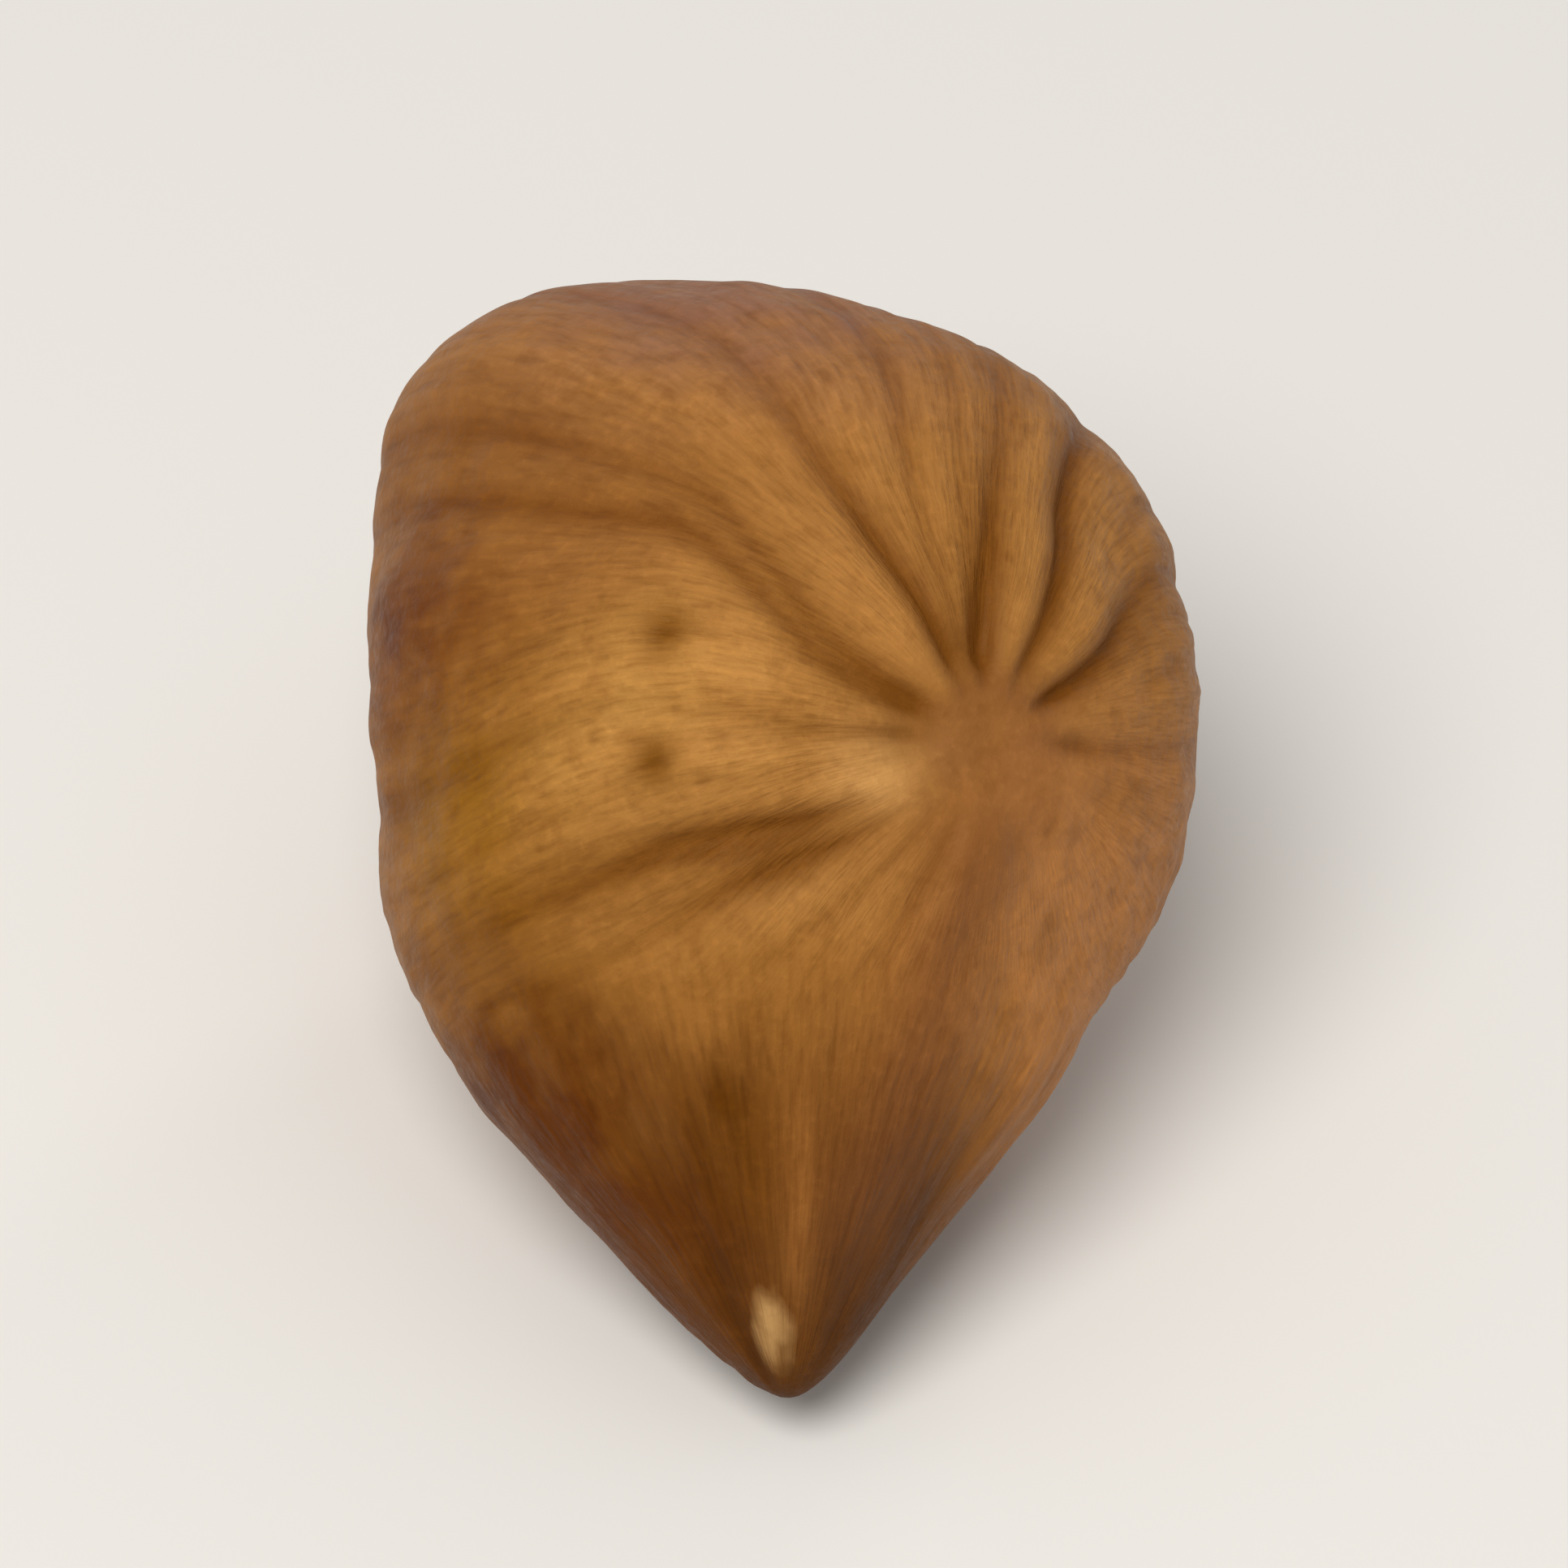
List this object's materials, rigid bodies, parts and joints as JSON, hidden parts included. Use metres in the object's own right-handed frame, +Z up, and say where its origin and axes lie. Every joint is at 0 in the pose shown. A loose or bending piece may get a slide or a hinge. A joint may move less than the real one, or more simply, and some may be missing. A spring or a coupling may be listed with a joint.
{
  "type": "hazelnut kernel",
  "caption": "Shelled hazelnut kernel in its brown skin: a round body drawn out to a point, with furrowed veins that fan out from the chalaza on its upper side and run round it to the underside.",
  "frame": {"origin": "a point of the flat spot that the kernel rests on, straight under the centre of its round body", "axes": "+Z up, -Y towards the tip, +X across the kernel to the side that the chalaza is on"},
  "size_m": [0.0115, 0.0145, 0.011],
  "materials": {
    "skin": "papery brown seed skin with a faint gloss, darker in its furrows"
  },
  "bodies": {
    "root": {"kernel": "skin"}
  },
  "joints": []
}
